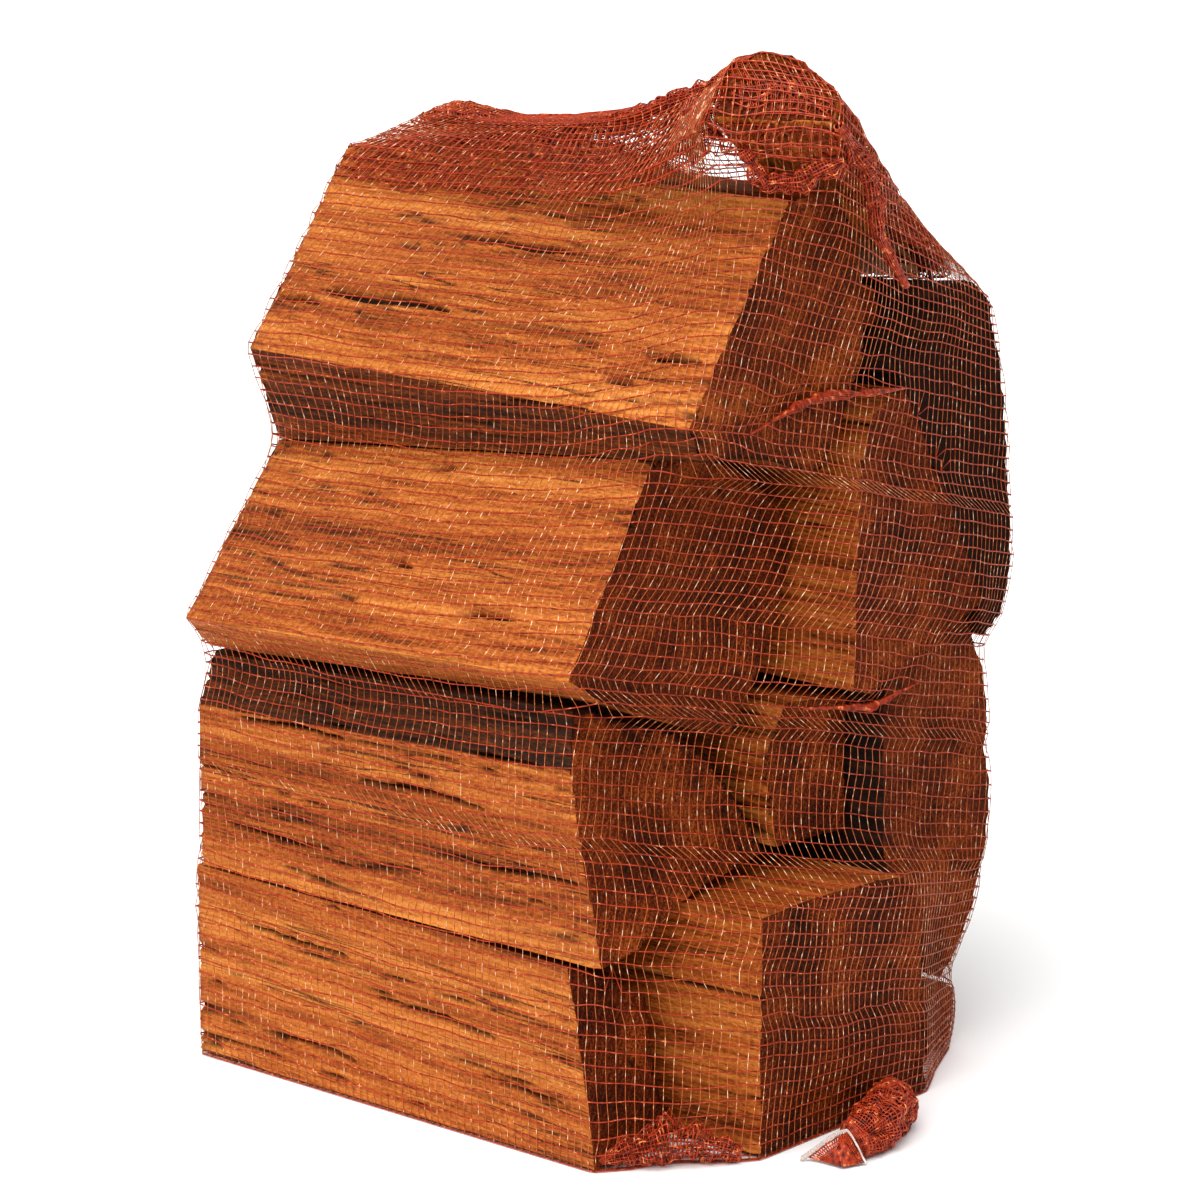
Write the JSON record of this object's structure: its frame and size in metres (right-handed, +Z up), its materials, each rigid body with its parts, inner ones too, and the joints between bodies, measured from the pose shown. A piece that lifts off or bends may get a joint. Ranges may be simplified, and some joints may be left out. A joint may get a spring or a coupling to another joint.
{
  "type": "firewood bundle",
  "caption": "Upright bundle of split hardwood logs held tight in a knitted net bag, gathered at a mouth on top and standing on its flat base.",
  "frame": {"origin": "on the floor, under the middle of the bundle's box", "axes": "+Z up; X along most of the logs, with their sawn ends at +X and -X; -Y is the front, where the long split faces show"},
  "size_m": [0.3458, 0.3044, 0.5043],
  "materials": {
    "split_wood": "split along the grain, sawn ends",
    "bark_wood": "rough dark bark",
    "net": "knitted polyethylene net, slightly glossy",
    "tape": "white sewn hem tape"
  },
  "bodies": {
    "root": {"log_front_bottom": "split_wood", "log_front_low": "split_wood", "log_front_high": "split_wood", "log_front_top": "split_wood", "log_end_bottom": "split_wood", "log_back_bottom": "split_wood", "log_end_low": "split_wood", "log_back_low": "bark_wood", "log_end_middle": "split_wood", "log_back_middle": "bark_wood", "log_top_left": "split_wood", "log_top_cross": "split_wood", "net_bag": "net", "hem_tape": "tape"}
  },
  "joints": []
}
